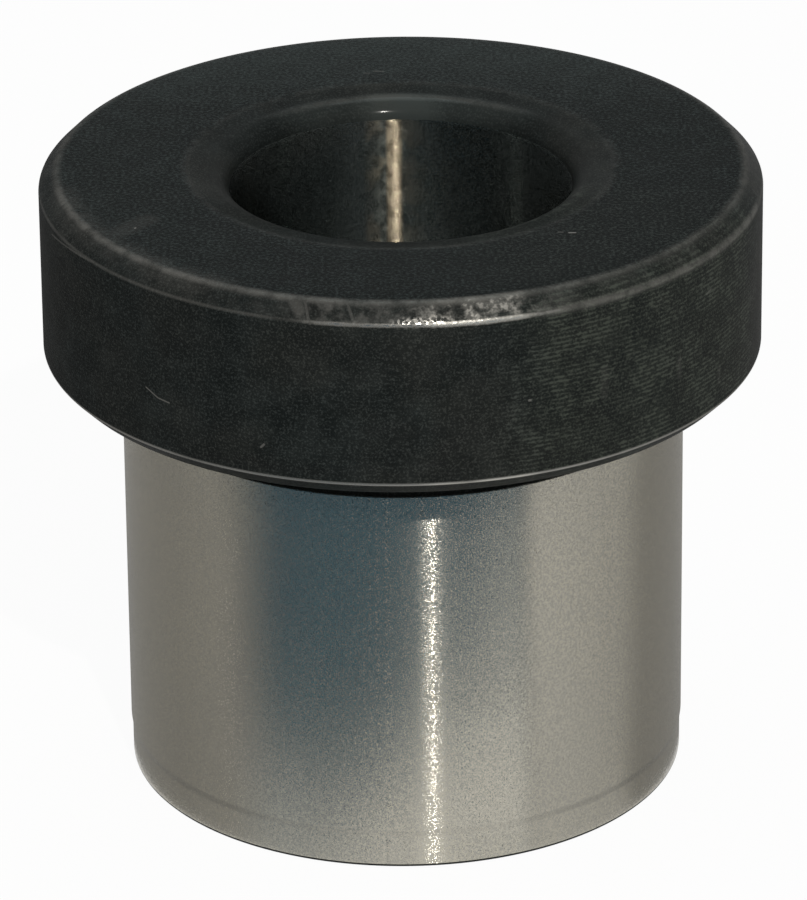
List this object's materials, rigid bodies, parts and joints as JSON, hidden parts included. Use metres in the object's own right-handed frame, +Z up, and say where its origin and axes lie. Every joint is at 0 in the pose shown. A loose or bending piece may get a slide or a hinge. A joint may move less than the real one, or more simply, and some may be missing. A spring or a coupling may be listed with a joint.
{
  "type": "drill bushing",
  "caption": "Headed press-fit drill bushing: a short ground sleeve with a wider blackened head, a guide bore with a rounded mouth, and a relief groove under the head.",
  "frame": {"origin": "centre of the flat end face at the bottom of the shank", "axes": "+Z up along the bore axis, from the shank's end towards the head"},
  "size_m": [0.0203, 0.0202, 0.0181],
  "materials": {
    "bushing_steel": "hardened steel, ground bright on the shank and black oxide on the head, groove and bore mouth"
  },
  "bodies": {
    "root": {"drill_bushing": "bushing_steel"}
  },
  "joints": []
}
